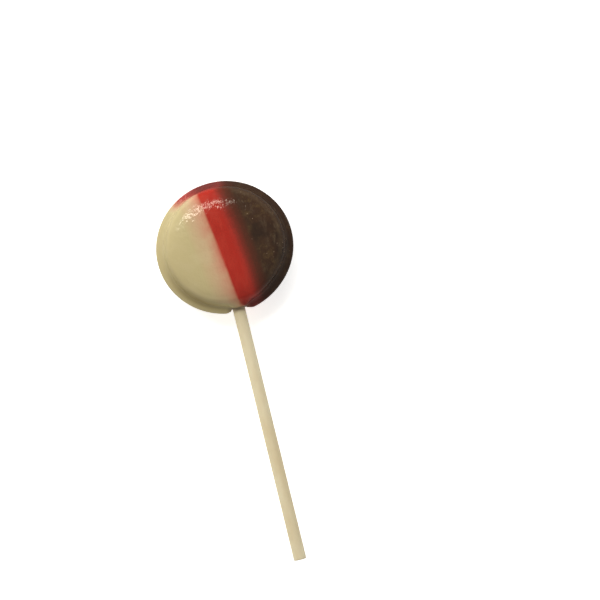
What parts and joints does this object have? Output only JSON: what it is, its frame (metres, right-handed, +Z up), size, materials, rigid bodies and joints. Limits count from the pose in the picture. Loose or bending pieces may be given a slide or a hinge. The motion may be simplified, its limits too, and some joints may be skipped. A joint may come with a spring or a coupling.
{
  "type": "lollipop",
  "caption": "Flat round lollipop of glossy boiled candy in cream, red and chocolate brown layers, with a thin flange round its middle, on a straight rolled paper stick, lying face up.",
  "frame": {"origin": "middle of the lollipop's outline seen from above, on the plane it lies on", "axes": "+Z up, out of the shown face; the stick points along -Y and is level; +X is the brown side"},
  "size_m": [0.0438, 0.1226, 0.0171],
  "materials": {
    "candy_cream": "glossy opaque boiled candy, fine wrinkles",
    "candy_red": "glossy boiled candy, fine wrinkles",
    "candy_brown": "glossy dark boiled candy with small pits",
    "stick_paper": "matt off-white rolled paper"
  },
  "bodies": {
    "root": {"candy_cream": "candy_cream", "candy_red": "candy_red", "candy_brown": "candy_brown", "stick": "stick_paper"}
  },
  "joints": []
}
